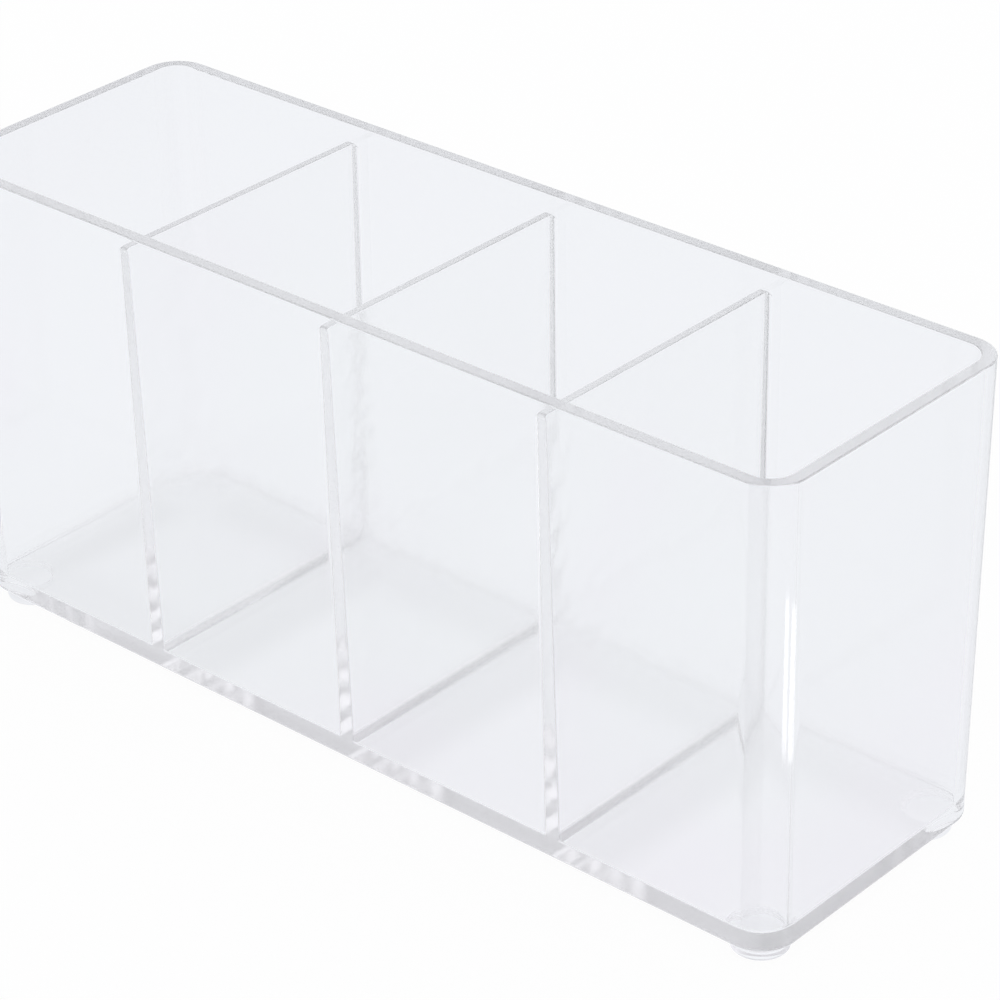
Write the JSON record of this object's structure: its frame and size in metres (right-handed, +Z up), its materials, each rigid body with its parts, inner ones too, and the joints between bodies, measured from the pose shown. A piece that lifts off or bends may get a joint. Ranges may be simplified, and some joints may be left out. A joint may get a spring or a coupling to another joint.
{
  "type": "makeup organizer",
  "caption": "Clear open-topped acrylic organizer with round corners, fixed cross dividers and small round feet.",
  "frame": {"origin": "on the table, under the middle of the object's length and depth", "axes": "+X along the length, to the right seen from the front; +Y to the back wall; +Z up"},
  "size_m": [0.22, 0.0704, 0.1043],
  "materials": {
    "clear_acrylic": "clear, polished",
    "clear_pad": "clear, soft gloss"
  },
  "bodies": {
    "root": {"base_plate": "clear_acrylic", "wall_band": "clear_acrylic", "divider_left": "clear_acrylic", "divider_middle": "clear_acrylic", "divider_right": "clear_acrylic", "foot_front_left": "clear_pad", "foot_front_right": "clear_pad", "foot_back_left": "clear_pad", "foot_back_right": "clear_pad"}
  },
  "joints": []
}
